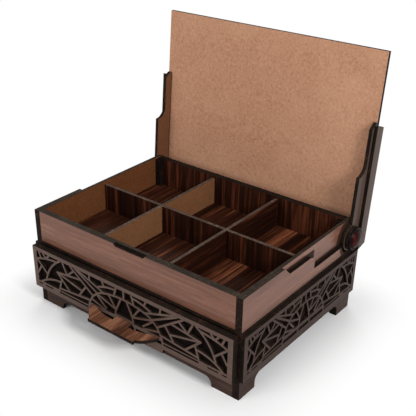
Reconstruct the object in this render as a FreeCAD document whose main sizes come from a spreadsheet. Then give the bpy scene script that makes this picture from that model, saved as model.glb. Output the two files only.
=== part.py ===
import FreeCAD, Part
import math
import os
import re

import Sketcher

# Jewellery box of thin veneered board: a fretwork base with one drawer, a divided tray above it,
# and a flat lid on two side arms that turn on pins near the back of the tray.
# Frame: X to the right along the front, Y to the back, Z up. The origin is the middle of the whole
# box seen from above, on the surface that it stands on, which is a little ahead of the carcase's
# own middle because of the handle. Pieces are worked out from the carcase's middle and then moved.
# The drawer is shut and the lid stands open.

SIZES = {
    # board and fits
    "sheet_thickness": 3.0,
    "running_gap": 0.2,
    "pin_clearance": 0.05,
    "slot_gap": 0.1,
    # how far the origin lies ahead of the carcase's middle
    "origin_ahead": 3.0,
    # carcase: outer layers, without the fretwork on the sides
    "box_width": 215.0,
    "box_depth": 164.0,
    "base_height": 58.5,
    "tray_height": 28.0,
    # feet left standing by the arches in the lower edges
    "front_foot_width": 25.7,
    "front_arch_height": 8.2,
    "side_foot_width": 20.5,
    "side_arch_height": 11.8,
    "arch_round": 7.0,
    "base_floor_height": 15.0,
    # tray
    "back_wall_setback": 6.6,
    "back_wall_drop": 1.0,
    "divider_drop": 3.0,
    "notch_width": 33.0,
    "notch_depth": 2.2,
    "notch_slope": 2.0,
    "post_width": 6.0,
    "post_depth": 4.5,
    "post_drop": 1.5,
    # pivot of the lid, from the back edge and from the tray's floor
    "pivot_setback": 11.2,
    "pivot_height": 12.1,
    "pin_radius": 2.0,
    "pin_end_gap": 0.3,
    # lid panel and its two layers of arms; reaches run from the pivot's foot to the front
    "lid_reach": 150.3,
    "open_angle": 94.0,
    "hub_radius": 11.5,
    "arm_reach": 94.5,
    "arm_tail": 10.5,
    "arm_narrow": 7.0,
    "arm_wide": 16.9,
    "arm_wide_reach": 52.0,
    "arm_tip_flat": 1.5,
    "arm_tip_slope": 4.5,
    "strip_reach": 92.8,
    "strip_top_slope": 2.3,
    "strip_inside": 4.4,
    "strip_outside": 6.2,
    "strip_tail_slope": 3.2,
    "stop_gap": 0.1,
    # recess that the shut arm lies in
    "recess_hub_gap": 2.5,
    "recess_floor_gap": 3.0,
    "recess_step_gap": 4.8,
    "recess_ledge_gap": 0.5,
    "recess_tip_gap": 6.0,
    "recess_round": 7.5,
    # hub trim
    "disc_radius": 10.2,
    "bezel_radius": 9.9,
    "bezel_bore": 7.9,
    "bezel_height": 2.2,
    "gem_gap": 0.1,
    "gem_girdle": 1.6,
    "gem_dome": 3.2,
    # drawer
    "drawer_side_gap": 0.5,
    "drawer_bottom_gap": 0.3,
    "drawer_top_gap": 2.0,
    "drawer_back_gap": 0.2,
    "drawer_front_gap": 1.5,
    "drawer_front_inset": 1.6,
    "drawer_front_bottom": 19.0,
    "drawer_front_overlap": 0.4,
    # handle plate: nose, two wings that end on the fretwork, and a tab between them
    "handle_bottom": 25.4,
    "handle_reach": 16.8,
    "handle_half": 36.3,
    "handle_nose_half": 24.4,
    "handle_nose_depth": 1.8,
    "handle_notch": 0.8,
    "handle_round": 24.0,
    "handle_tab_half": 8.0,
    "handle_gap_half": 30.5,
    "handle_gap_depth": 5.0,
    "handle_gap_round": 44.0,
    # fretwork
    "side_fret_bottom": 17.5,
    "side_fret_drop": 0.5,
    "fret_end_frame": 4.5,
    "fret_top_frame": 3.5,
    "fret_bottom_frame": 4.0,
    "side_fret_bottom_frame": 5.5,
    "strut_width": 1.8,
    "slit_strut_width": 1.2,
    "sill_slit": 3.2,
    "sill_height": 3.2,
    "slot_border": 2.6,
    "centre_tab_drop": 4.0,
}

doc = FreeCAD.newDocument("jewellery_box")
sheet = doc.addObject("Spreadsheet::Sheet", "Sizes")
for row, (alias, number) in enumerate(SIZES.items(), start=1):
    sheet.set(f"A{row}", alias)
    sheet.set(f"B{row}", str(number))
    sheet.setAlias(f"B{row}", alias)
doc.recompute()

ALIASES = re.compile(r"\b(" + "|".join(SIZES) + r")\b")
nodes = []


def tied(expression):
    """Turn plain size names into references to the sheet's cells."""
    return ALIASES.sub(r"Sizes.\1", expression)


def value(expression):
    """Work out an expression of size names as a number."""
    result = sheet.evalExpression(tied(expression))
    return float(getattr(result, "Value", result))


def bind(thing, **properties):
    """Tie properties of an object to expressions of size names."""
    for name, expression in properties.items():
        thing.setExpression(name, tied(expression))


def place(thing, x="0", y="0", z="0"):
    """Tie the position of an object, given from the carcase's middle, to size names."""
    for axis, expression in zip("xyz", (x, f"{y} + origin_ahead", z)):
        thing.setExpression(f"Placement.Base.{axis}", tied(expression))


def keep(thing, label):
    """Name a finished sub-part and list it for export."""
    thing.Label = label
    nodes.append(thing)
    return thing


def box(name, length, width, height, x, y, z):
    """Make a rectangular board or cutting block from its three sides and its lowest corner."""
    block = doc.addObject("Part::Box", name)
    bind(block, Length=length, Width=width, Height=height)
    place(block, x, y, z)
    return block


def cylinder(name, radius, length, x, y, z):
    """Make a cylinder whose axis runs along +X from the given point."""
    rod = doc.addObject("Part::Cylinder", name)
    rod.Placement.Rotation = FreeCAD.Rotation(FreeCAD.Vector(0, 1, 0), 90)
    bind(rod, Radius=radius, Height=length)
    place(rod, x, y, z)
    return rod


def boolean(kind, name, base, tool):
    """Join a base and a tool by Part::Cut or Part::Fuse."""
    result = doc.addObject(kind, name)
    result.Base = base
    result.Tool = tool
    return result


def pair(label, pieces):
    """Keep two identical pieces as one sub-part of separate solids."""
    both = doc.addObject("Part::Compound", f"{label}_pair")
    both.Links = pieces
    return keep(both, label)


def arc_between(start, end, radius, side):
    """Return the lesser arc from start to end with its centre on that side of the travel."""
    middle = (start + end) * 0.5
    chord = end - start
    left = FreeCAD.Vector(-chord.y, chord.x, 0).normalize()
    height = math.sqrt(max(radius ** 2 - (chord.Length / 2) ** 2, 0.0))
    centre = middle + left * (height if side == "left" else -height)
    first, last = (start, end) if side == "left" else (end, start)
    first_angle = math.atan2(first.y - centre.y, first.x - centre.x)
    last_angle = math.atan2(last.y - centre.y, last.x - centre.x)
    circle = Part.Circle(centre, FreeCAD.Vector(0, 0, 1), radius)
    return Part.ArcOfCircle(circle, first_angle, last_angle)


def draw_outline(sketch, corners):
    """Draw a closed outline and tie each corner to the sheet.

    A corner is (x, y), or (x, y, radius, side) where the run that leaves it is an arc with its
    centre on that side of the direction of travel.
    """
    points = [FreeCAD.Vector(value(corner[0]), value(corner[1]), 0) for corner in corners]
    runs = []
    for index, corner in enumerate(corners):
        start, end = points[index], points[(index + 1) % len(points)]
        if len(corner) == 2:
            runs.append((sketch.addGeometry(Part.LineSegment(start, end), False), 1, 2))
            continue
        arc = sketch.addGeometry(arc_between(start, end, value(corner[2]), corner[3]), False)
        radius = sketch.addConstraint(Sketcher.Constraint("Radius", arc, value(corner[2])))
        sketch.setExpression(f"Constraints[{radius}]", tied(corner[2]))
        runs.append((arc, 1, 2) if corner[3] == "left" else (arc, 2, 1))
    for index, (run, first, last) in enumerate(runs):
        following, following_first, _ = runs[(index + 1) % len(runs)]
        sketch.addConstraint(Sketcher.Constraint("Coincident", run, last, following, following_first))
    for point, corner, (run, first, last) in zip(points, corners, runs):
        across = sketch.addConstraint(Sketcher.Constraint("DistanceX", -1, 1, run, first, point.x))
        along = sketch.addConstraint(Sketcher.Constraint("DistanceY", -1, 1, run, first, point.y))
        sketch.setExpression(f"Constraints[{across}]", tied(corner[0]))
        sketch.setExpression(f"Constraints[{along}]", tied(corner[1]))


def draw_circle(sketch, x, y, radius):
    """Draw a circle with its centre and radius tied to the sheet."""
    centre = FreeCAD.Vector(value(x), value(y), 0)
    ring = sketch.addGeometry(Part.Circle(centre, FreeCAD.Vector(0, 0, 1), value(radius)), False)
    across = sketch.addConstraint(Sketcher.Constraint("DistanceX", -1, 1, ring, 3, centre.x))
    along = sketch.addConstraint(Sketcher.Constraint("DistanceY", -1, 1, ring, 3, centre.y))
    size = sketch.addConstraint(Sketcher.Constraint("Radius", ring, value(radius)))
    for constraint, expression in ((across, x), (along, y), (size, radius)):
        sketch.setExpression(f"Constraints[{constraint}]", tied(expression))


def cut_board(label, plane, corners, holes=(), thickness="sheet_thickness", middle=False):
    """Cut a board: an outline with round holes, drawn on a plane and padded to its thickness."""
    body = doc.addObject("PartDesign::Body", label)
    sketch = body.newObject("Sketcher::SketchObject", f"{label}_outline")
    origin_plane = next(f for f in body.Origin.OriginFeatures if f.Role == plane)
    sketch.AttachmentSupport = [(origin_plane, "")]
    sketch.MapMode = "FlatFace"
    draw_outline(sketch, corners)
    for hole in holes:
        draw_circle(sketch, *hole)
    pad = body.newObject("PartDesign::Pad", f"{label}_pad")
    pad.Profile = sketch
    pad.Midplane = middle
    bind(pad, Length=thickness)
    return keep(body, label)


# heights and faces that several pieces share
plate_top = "(base_height + sheet_thickness)"
rim = f"({plate_top} + tray_height)"
half_width = "box_width / 2"
half_depth = "box_depth / 2"
inner_layer = "(box_width / 2 - 2 * sheet_thickness)"
outer_layer = "(box_width / 2 - sheet_thickness)"
pivot_y = "(box_depth / 2 - pivot_setback)"
pivot_z = f"({plate_top} + pivot_height)"
back_face = "(box_depth / 2 - back_wall_setback - 2 * sheet_thickness)"
tray_front_face = "(-box_depth / 2 + 2 * sheet_thickness)"


def mirrored(inner, thickness="sheet_thickness"):
    """Give the name and the lowest X of a layer on the left and on the right."""
    return (("left", f"-({inner}) - ({thickness})"), ("right", inner))


def arched_board(half_length, foot, arch, top):
    """List the outline of a board on two feet, with an arch of rounded corners between them."""
    inside = f"({half_length} - {foot})"
    return (
        (f"-{half_length}", "0"),
        (f"-{inside}", "0"),
        (f"-{inside}", f"{arch} - arch_round", "arch_round", "right"),
        (f"-{inside} + arch_round", arch),
        (f"{inside} - arch_round", arch, "arch_round", "right"),
        (inside, f"{arch} - arch_round"),
        (inside, "0"),
        (half_length, "0"),
        (half_length, top),
        (f"-{half_length}", top),
    )


# Base: two layers to each side, a front skirt under the drawer, a back and a floor
for side, x in mirrored(inner_layer):
    board = cut_board(f"base_side_inner_{side}", "YZ_Plane",
                      arched_board("(box_depth / 2)", "side_foot_width", "side_arch_height",
                                   "base_height"))
    place(board, x=x)
for side, x in mirrored(outer_layer):
    board = cut_board(f"base_side_outer_{side}", "YZ_Plane",
                      arched_board("(box_depth / 2)", "side_foot_width", "side_arch_height",
                                   "base_height"))
    place(board, x=x)
skirt_foot = "(front_foot_width - 2 * sheet_thickness)"
skirt = cut_board("front_skirt", "XZ_Plane",
                  arched_board(inner_layer, skirt_foot, "front_arch_height",
                               "base_floor_height + sheet_thickness"))
place(skirt, y=f"-{half_depth} + sheet_thickness")
base_back = cut_board("base_back", "XZ_Plane",
                      arched_board(inner_layer, skirt_foot, "front_arch_height", "base_height"))
place(base_back, y=half_depth)
keep(box("base_floor", f"2 * {inner_layer}", "box_depth - 2 * sheet_thickness", "sheet_thickness",
         f"-{inner_layer}", f"-{half_depth} + sheet_thickness", "base_floor_height"), "base_floor")
keep(box("top_plate", "box_width", "box_depth", "sheet_thickness",
         f"-{half_width}", f"-{half_depth}", "base_height"), "top_plate")

# Tray sides: the inner layer is whole and rounded about the pivot where the lid sweeps past it
rear_corner = f"{pivot_z} + sqrt((tray_height - pivot_height) ^ 2 - pivot_setback ^ 2)"
for side, x in mirrored(inner_layer):
    wall = cut_board(f"tray_side_inner_{side}", "YZ_Plane", (
        (f"-{half_depth}", plate_top),
        (half_depth, plate_top),
        (half_depth, rear_corner, "tray_height - pivot_height", "left"),
        (pivot_y, rim),
        (f"-{half_depth}", rim),
    ), holes=((pivot_y, pivot_z, "pin_radius"),))
    place(wall, x=x)

# The outer layer is cut away round the hub and under the shut arm
hub_room = "(hub_radius + recess_hub_gap)"
shut_face = f"({rim} + running_gap)"
recess_floor = f"({shut_face} - arm_wide - recess_floor_gap)"
recess_ledge = f"({shut_face} - arm_narrow - recess_ledge_gap)"
recess_step = f"({pivot_y} - arm_wide_reach - recess_step_gap)"
recess_tip = f"({pivot_y} - arm_reach - recess_tip_gap)"
hub_room_end = f"{pivot_y} - sqrt({hub_room} ^ 2 - pivot_height ^ 2)"
hub_room_top = f"{pivot_y} - sqrt({hub_room} ^ 2 - ({pivot_z} - {recess_floor}) ^ 2)"
for side, x in mirrored(outer_layer):
    wall = cut_board(f"tray_side_outer_{side}", "YZ_Plane", (
        (f"-{half_depth}", plate_top),
        (hub_room_end, plate_top, hub_room, "right"),
        (hub_room_top, recess_floor),
        (recess_step, recess_floor),
        (recess_step, f"{recess_ledge} - recess_round", "recess_round", "left"),
        (f"{recess_step} - recess_round", recess_ledge),
        (f"{recess_tip} + arm_tip_slope + 2 * arm_tip_flat", recess_ledge),
        (recess_tip, rim),
        (f"-{half_depth}", rim),
    ))
    place(wall, x=x)

# Tray front, of two layers: the outer one has the notch for a fingertip
tray_width = f"2 * {inner_layer}"
front_outer = cut_board("tray_front_outer", "XZ_Plane", (
    (f"-{inner_layer}", plate_top),
    (inner_layer, plate_top),
    (inner_layer, rim),
    ("notch_width / 2", rim),
    ("notch_width / 2 - notch_slope", f"{rim} - notch_depth"),
    ("-notch_width / 2 + notch_slope", f"{rim} - notch_depth"),
    ("-notch_width / 2", rim),
    (f"-{inner_layer}", rim),
))
place(front_outer, y=f"-{half_depth} + sheet_thickness")
keep(box("tray_front_inner", tray_width, "sheet_thickness", "tray_height",
         f"-{inner_layer}", f"-{half_depth} + sheet_thickness", plate_top), "tray_front_inner")
for layer, y in (("inner", back_face), ("outer", f"{back_face} + sheet_thickness")):
    keep(box(f"tray_back_{layer}", tray_width, "sheet_thickness", "tray_height - back_wall_drop",
             f"-{inner_layer}", y, plate_top), f"tray_back_{layer}")
for side, x in mirrored(f"{inner_layer} - post_width", "post_width"):
    keep(box(f"corner_post_{side}", "post_width", "post_depth", "tray_height - post_drop",
             x, f"{back_face} - post_depth", plate_top), f"corner_post_{side}")

# Dividers: one long board and two cross boards, halved into each other where they meet
divider_height = "(tray_height - divider_drop)"
cross_middle = f"(({inner_layer} - sheet_thickness) / 3 + sheet_thickness / 2)"
long_middle = f"(({tray_front_face} + {back_face}) / 2)"
slot_half = "((sheet_thickness + slot_gap) / 2)"
slot_end = f"{plate_top} + {divider_height} / 2"
long_divider = cut_board("long_divider", "XZ_Plane", (
    (f"-{inner_layer}", plate_top),
    (inner_layer, plate_top),
    (inner_layer, f"{plate_top} + {divider_height}"),
    (f"{cross_middle} + {slot_half}", f"{plate_top} + {divider_height}"),
    (f"{cross_middle} + {slot_half}", slot_end),
    (f"{cross_middle} - {slot_half}", slot_end),
    (f"{cross_middle} - {slot_half}", f"{plate_top} + {divider_height}"),
    (f"-{cross_middle} + {slot_half}", f"{plate_top} + {divider_height}"),
    (f"-{cross_middle} + {slot_half}", slot_end),
    (f"-{cross_middle} - {slot_half}", slot_end),
    (f"-{cross_middle} - {slot_half}", f"{plate_top} + {divider_height}"),
    (f"-{inner_layer}", f"{plate_top} + {divider_height}"),
))
place(long_divider, y=f"{long_middle} + sheet_thickness / 2")
for side, x in mirrored(f"{cross_middle} - sheet_thickness / 2"):
    divider = cut_board(f"cross_divider_{side}", "YZ_Plane", (
        (tray_front_face, plate_top),
        (f"{long_middle} - {slot_half}", plate_top),
        (f"{long_middle} - {slot_half}", slot_end),
        (f"{long_middle} + {slot_half}", slot_end),
        (f"{long_middle} + {slot_half}", plate_top),
        (back_face, plate_top),
        (back_face, f"{plate_top} + {divider_height}"),
        (tray_front_face, f"{plate_top} + {divider_height}"),
    ))
    place(divider, x=x)

# Lid: drawn shut, with the pivot at its own origin and its front to -Y, then turned to stand open
lid_face = "(tray_height - pivot_height + running_gap)"
arm_face = f"({outer_layer} + running_gap)"
strip_face = f"({arm_face} + sheet_thickness)"


def hang(piece, x="0"):
    """Put a lid piece on the pivot, turned open."""
    piece.Placement.Rotation = FreeCAD.Rotation(FreeCAD.Vector(1, 0, 0), -value("open_angle"))
    piece.setExpression("Placement.Rotation.Angle", tied("-open_angle"))
    place(piece, x, pivot_y, pivot_z)


hang(cut_board("lid_panel", "YZ_Plane", (
    ("-lid_reach", lid_face),
    ("pivot_setback", lid_face),
    ("pivot_setback", f"{lid_face} + sheet_thickness"),
    ("-lid_reach", f"{lid_face} + sheet_thickness"),
), thickness=f"2 * {strip_face}", middle=True))

arm_low = f"({lid_face} - arm_wide)"
arm_high = f"({lid_face} - arm_narrow)"
arm_curve = "(arm_wide - arm_narrow)"
hub_side = f"sqrt(hub_radius ^ 2 - {arm_low} ^ 2)"
for side, x in mirrored(arm_face):
    arm = cut_board(f"arm_inner_{side}", "YZ_Plane", (
        ("-arm_reach", lid_face),
        ("-arm_reach", f"{lid_face} - arm_tip_flat"),
        ("-arm_reach + arm_tip_slope", arm_high),
        (f"-arm_wide_reach - {arm_curve}", arm_high, arm_curve, "right"),
        ("-arm_wide_reach", arm_low),
        (f"-{hub_side}", arm_low, "hub_radius", "left"),
        ("0", "-hub_radius", "hub_radius", "left"),
        ("hub_radius", "0", "hub_radius", "left"),
        ("arm_tail", "sqrt(hub_radius ^ 2 - arm_tail ^ 2)"),
        ("arm_tail", lid_face),
    ), holes=(("0", "0", "pin_radius + pin_clearance"),))
    hang(arm, x)

lean = "(open_angle - 90)"
strip_tail = (f"(({pivot_z} - (base_height - side_fret_drop) - stop_gap"
              f" - ({lid_face} - strip_inside) * sin({lean})) / cos({lean}))")
for side, x in mirrored(strip_face):
    strip = cut_board(f"arm_strip_{side}", "YZ_Plane", (
        ("-strip_reach", f"{lid_face} - strip_inside"),
        (strip_tail, f"{lid_face} - strip_inside"),
        (f"{strip_tail} - strip_tail_slope", f"{lid_face} + strip_outside"),
        ("-strip_reach + strip_top_slope", f"{lid_face} + strip_outside"),
    ))
    hang(strip, x)

# Hub trim: a disc on the arm, and a bezel with a domed stone on the disc
disc_face = f"({strip_face} + sheet_thickness)"
for side, x in mirrored(strip_face):
    disc = cylinder(f"disc_{side}", "disc_radius", "sheet_thickness", x, pivot_y, pivot_z)
    bore = cylinder(f"disc_bore_{side}", "pin_radius + pin_clearance", "sheet_thickness",
                    x, pivot_y, pivot_z)
    keep(boolean("Part::Cut", f"hub_disc_{side}", disc, bore), f"hub_disc_{side}")
bezels = []
for side, x in mirrored(disc_face, "bezel_height"):
    ring = cylinder(f"bezel_ring_{side}", "bezel_radius", "bezel_height", x, pivot_y, pivot_z)
    bore = cylinder(f"bezel_hole_{side}", "bezel_bore", "bezel_height", x, pivot_y, pivot_z)
    bezels.append(boolean("Part::Cut", f"bezel_{side}", ring, bore))
pair("bezels", bezels)

gem_radius = "(bezel_bore - gem_gap)"
dome_radius = f"(({gem_radius} ^ 2 + gem_dome ^ 2) / (2 * gem_dome))"
dome_middle = f"({disc_face} + gem_girdle + gem_dome - {dome_radius})"
gems = []
for side, x in mirrored(disc_face, "gem_girdle"):
    outwards = -1 if side == "left" else 1
    girdle = cylinder(f"gem_girdle_{side}", gem_radius, "gem_girdle", x, pivot_y, pivot_z)
    dome = doc.addObject("Part::Sphere", f"gem_dome_{side}")
    dome.Placement.Rotation = FreeCAD.Rotation(FreeCAD.Vector(0, 1, 0), 90 * outwards)
    bind(dome, Radius=dome_radius, Angle1=f"asin(({dome_radius} - gem_dome) / {dome_radius})")
    place(dome, f"{outwards} * {dome_middle}", pivot_y, pivot_z)
    gems.append(boolean("Part::Fuse", f"gem_{side}", girdle, dome))
pair("gems", gems)

pin_length = f"({disc_face} - pin_end_gap - {inner_layer})"
pair("pivot_pins", [cylinder(f"pin_{side}", "pin_radius", pin_length, x, pivot_y, pivot_z)
                    for side, x in mirrored(inner_layer, pin_length)])

# Drawer: a box that runs between the inner sides, behind a front of two layers
drawer_half = f"({inner_layer} - drawer_side_gap)"
drawer_bottom = "(base_floor_height + sheet_thickness + drawer_bottom_gap)"
drawer_floor_top = f"({drawer_bottom} + sheet_thickness)"
drawer_wall = f"(base_height - drawer_top_gap - {drawer_floor_top})"
drawer_start = f"(-{half_depth} - drawer_front_gap)"
drawer_end = f"({half_depth} - sheet_thickness - drawer_back_gap)"
keep(box("drawer_floor", f"2 * {drawer_half}", f"{drawer_end} - {drawer_start}", "sheet_thickness",
         f"-{drawer_half}", drawer_start, drawer_bottom), "drawer_floor")
for side, x in mirrored(f"{drawer_half} - sheet_thickness"):
    keep(box(f"drawer_side_{side}", "sheet_thickness", f"{drawer_end} - {drawer_start}",
             drawer_wall, x, drawer_start, drawer_floor_top), f"drawer_side_{side}")
drawer_inside = f"({drawer_half} - sheet_thickness)"
for name, y in (("drawer_inner_front", drawer_start),
                ("drawer_back", f"{drawer_end} - sheet_thickness")):
    keep(box(name, f"2 * {drawer_inside}", "sheet_thickness", drawer_wall,
             f"-{drawer_inside}", y, drawer_floor_top), name)

front_half = "(box_width / 2 - drawer_front_inset)"
front_height = "(base_height + drawer_front_overlap - drawer_front_bottom)"
backing = box("front_board", f"2 * {front_half}", "sheet_thickness", front_height,
              f"-{front_half}", f"{drawer_start} - sheet_thickness", "drawer_front_bottom")
tab_slot = box("tab_slot", "2 * handle_tab_half", "sheet_thickness", "sheet_thickness",
               "-handle_tab_half", f"{drawer_start} - sheet_thickness", "handle_bottom")
keep(boolean("Part::Cut", "drawer_front_board", backing, tab_slot), "drawer_front_board")

fret_back = f"({drawer_start} - sheet_thickness)"
fret_front = f"({drawer_start} - 2 * sheet_thickness)"
handle_front = f"({fret_front} - handle_reach)"
nose_back = f"({handle_front} + handle_nose_depth)"
notch_half = "(handle_nose_half - handle_notch)"
gap_front = f"{fret_front} - handle_gap_depth"
handle = cut_board("drawer_handle", "XY_Plane", (
    ("-handle_nose_half", handle_front),
    ("handle_nose_half", handle_front),
    ("handle_nose_half", nose_back),
    (notch_half, f"{nose_back} + handle_notch / 2", "handle_round", "left"),
    ("handle_half", fret_front),
    ("handle_gap_half", fret_front, "handle_gap_round", "right"),
    ("handle_tab_half", gap_front),
    ("handle_tab_half", drawer_start),
    ("-handle_tab_half", drawer_start),
    ("-handle_tab_half", gap_front, "handle_gap_round", "right"),
    ("-handle_gap_half", fret_front),
    ("-handle_half", fret_front, "handle_round", "left"),
    (f"-{notch_half}", f"{nose_back} + handle_notch / 2"),
    ("-handle_nose_half", nose_back),
))
place(handle, z="handle_bottom")

# Fretwork. Its joints are given in shares of the open field: from the middle (0) to the end frame
# (1), and from the lower frame (0) to the upper frame (1). One half is drawn and mirrored.
JOINT_SHARES = {
    "end_high": (1.00, 0.76),
    "end_low": (1.00, 0.33),
    "knee": (0.88, 0.41),
    "brace_middle": (0.947, 0.595),
    "corner_top": (0.97, 1.00),
    "corner_foot": (0.945, 0.815),
    "shoulder_top": (0.845, 1.00),
    "shoulder_side": (0.92, 1.00),
    "shoulder_foot": (0.885, 0.87),
    "star": (0.757, 0.62),
    "star_end": (0.705, 0.468),
    "star_foot": (0.742, 0.10),
    "star_slit": (0.61, 0.19),
    "arrow_top": (0.685, 1.00),
    "arrow_tip": (0.635, 0.675),
    "fan_root": (0.595, 1.00),
    "fan_side": (0.55, 0.90),
    "fan_crossing": (0.475, 0.735),
    "fan_joint": (0.417, 0.605),
    "fan_foot": (0.338, 0.43),
    "tie_middle": (0.463, 0.41),
    "tie_foot": (0.508, 0.22),
    "second_root": (0.54, 1.00),
    "second_foot": (0.285, 0.57),
    "third_root": (0.515, 1.00),
    "third_foot": (0.21, 0.67),
    "spur_top": (0.375, 1.00),
    "spur_foot": (0.37, 0.845),
    "stay_top": (0.23, 1.00),
    "stay_foot": (0.21, 0.865),
    "crown_top": (0.08, 1.00),
    "crown_foot": (0.105, 0.735),
    "upper_slit_root": (0.378, 0.255),
    "upper_slit_end": (0.738, 0.152),
    "lower_slit_root": (0.392, 0.07),
    "lower_slit_end": (0.76, 0.07),
    "corner_bar_root": (0.742, 0.07),
    "corner_bar_end": (1.00, 0.065),
    "corner_fill_root": (0.742, 0.02),
    "corner_fill_end": (0.825, 0.02),
    "corner_stop_root": (0.92, 0.02),
    "corner_stop_end": (0.955, 0.02),
    "peak_side": (0.03, 0.75),
    "heart": (0.085, 0.37),
    "heart_foot": (0.115, 0.00),
    "heart_left": (0.165, 0.705),
    "inner_shoulder": (0.29, 0.56),
    "brace_shoulder": (0.30, 0.54),
    "brace_foot": (0.19, 0.25),
    "outer_shoulder": (0.36, 0.33),
    "shoulder_sill": (0.20, 0.20),
}
STRUTS = (
    "end_high knee", "brace_middle end_low", "corner_top corner_foot",
    "shoulder_top shoulder_foot", "shoulder_side shoulder_foot", "star fan_crossing",
    "star tie_middle", "star star_slit", "star_end star_foot", "arrow_top arrow_tip",
    "arrow_tip fan_side", "fan_root fan_foot", "fan_joint tie_foot", "second_root second_foot",
    "third_root third_foot", "spur_top spur_foot", "stay_top stay_foot", "crown_top crown_foot",
    "upper_slit_end upper_slit_root", "corner_bar_root corner_bar_end",
    "corner_fill_root corner_fill_end", "corner_stop_root corner_stop_end", "peak_side heart",
    "heart heart_foot", "heart heart_left", "heart inner_shoulder", "brace_shoulder brace_foot",
    "outer_shoulder shoulder_sill",
)
SLIT_STRUTS = ("lower_slit_end lower_slit_root",)
ROUND_JOINTS = (
    "star", "star_end", "knee", "shoulder_foot", "arrow_tip", "fan_foot", "second_foot",
    "third_foot", "tie_foot", "heart", "upper_slit_root", "crown_foot",
)
ARC_SHARES = {
    "end_arc": ((0.90, 0.225), (0.835, 0.65), (0.71, 1.00)),
    "brow": ((1.00, 0.76), (0.89, 0.865), (0.75, 0.92)),
    "foot_arc": ((0.975, 0.06), (0.865, 0.265), (0.72, 0.36)),
    "fourth_arc": ((0.087, 0.925), (0.20, 0.875), (0.29, 0.757)),
    "arch_side": ((0.395, 0.00), (0.355, 0.36), (0.24, 0.65)),
}
ARCH_TOP_SHARES = ((0.24, 0.65), (0.00, 0.76), (-0.24, 0.65))
FLAT = FreeCAD.Vector(0, -1, 0)


def flat(x, z):
    """Make a point of the fretwork's own plane."""
    return FreeCAD.Vector(x, 0, z)


def face(points):
    """Make a plane face inside a closed run of straight edges."""
    return Part.Face(Part.makePolygon(list(points) + [points[0]]))


def block_face(left, low, right, high):
    """Make an upright rectangular face."""
    return face([flat(left, low), flat(right, low), flat(right, high), flat(left, high)])


def strut(start, end, width):
    """Make a straight strut between two joints."""
    along = (end - start).normalize() * (width / 2)
    across = FreeCAD.Vector(-along.z, 0, along.x)
    return face([start - across, end - across, end + across, start + across])


def dot(centre, width):
    """Make the round face that closes the corners of the struts at a joint."""
    return Part.Face(Part.Wire(Part.makeCircle(width / 2, centre, FLAT)))


def bent_strut(start, middle, end, width):
    """Make a strut that follows the circle through three points."""
    arc = Part.Arc(start, middle, end).toShape()
    circle = arc.Curve
    edges = []
    for offset in (width / 2, -width / 2):
        ring = Part.Circle(circle.Center, circle.Axis, circle.Radius + offset)
        ends = [circle.Center + (point - circle.Center).normalize() * ring.Radius
                for point in (start, middle, end)]
        edges.append(Part.Arc(*ends).toShape())
    outer, inner = edges
    caps = [Part.makeLine(outer.Vertexes[index].Point, inner.Vertexes[index].Point)
            for index in (0, 1)]
    return Part.Face(Part.Wire([outer, caps[1], inner, caps[0]]))


def mirror_x(shape):
    """Mirror a shape to the other half of the fretwork."""
    return shape.mirror(FreeCAD.Vector(0, 0, 0), FreeCAD.Vector(1, 0, 0))


def fretwork(half_length, height, bottom_frame, extras=()):
    """Cut one fretwork board, upright on its lower edge, with its back face on the XZ plane.

    The extras are faces of this board's own, which may also reach below its lower edge.
    """
    end_frame = value("fret_end_frame")
    low = value(bottom_frame)
    high = height - value("fret_top_frame")
    width = value("strut_width")
    field_half = half_length - end_frame
    outline = block_face(-half_length, 0, half_length, height)
    opening = block_face(-field_half, low, field_half, high)

    def spot(share):
        return flat(share[0] * field_half, low + share[1] * (high - low))

    def struts(names, strut_width):
        for name in names:
            start, end = name.split()
            yield strut(spot(JOINT_SHARES[start]), spot(JOINT_SHARES[end]), strut_width)

    half = list(struts(STRUTS, width)) + list(struts(SLIT_STRUTS, value("slit_strut_width")))
    half += [bent_strut(*[spot(share) for share in arc], width) for arc in ARC_SHARES.values()]
    half += [dot(spot(JOINT_SHARES[name]), width) for name in ROUND_JOINTS]
    flats = half + [mirror_x(piece) for piece in half] + list(extras)
    flats.append(bent_strut(*[spot(share) for share in ARCH_TOP_SHARES], width))
    flats.append(strut(spot((0, 1)), spot(ARCH_TOP_SHARES[1]), width))
    sill = spot(ARC_SHARES["arch_side"][0]).x
    sill_foot = low + value("sill_slit")
    flats.append(block_face(-sill, sill_foot, sill, sill_foot + value("sill_height")))
    through = FLAT * value("sheet_thickness")
    room = block_face(-half_length, -height, half_length, height).extrude(through)
    frame = outline.cut(opening).extrude(through)
    board = frame.multiFuse([piece.extrude(through).common(room) for piece in flats])
    return board.removeSplitter()


def solid_of(shape):
    """Return the single solid of a shape."""
    if len(shape.Solids) != 1:
        raise ValueError(f"expected one solid, found {len(shape.Solids)}")
    return shape.Solids[0]


# The drawer's fretwork also has a tongue below its middle and a border round the handle's slot
tab_half = value("handle_tab_half")
slot_foot = value("handle_bottom - drawer_front_bottom")
slot_top = slot_foot + value("sheet_thickness + slot_gap")
border = value("slot_border")
tongue_half = ARC_SHARES["arch_side"][0][0] * (value(front_half) - value("fret_end_frame"))
drawer_fret = fretwork(value(front_half), value(front_height), "fret_bottom_frame", (
    block_face(-tongue_half, -value("centre_tab_drop"), tongue_half, value("fret_bottom_frame")),
    block_face(-tab_half - border, value("fret_bottom_frame + sill_slit"),
               tab_half + border, slot_top + border),
))
slot = block_face(-tab_half, slot_foot, tab_half, slot_top).extrude(FLAT * value("sheet_thickness"))
piece = doc.addObject("Part::Feature", "drawer_fretwork")
piece.Shape = solid_of(drawer_fret.cut(slot))
piece.Placement.Base = FreeCAD.Vector(0, value(f"{fret_back} + origin_ahead"),
                                      value("drawer_front_bottom"))
keep(piece, "drawer_fretwork")

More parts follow.
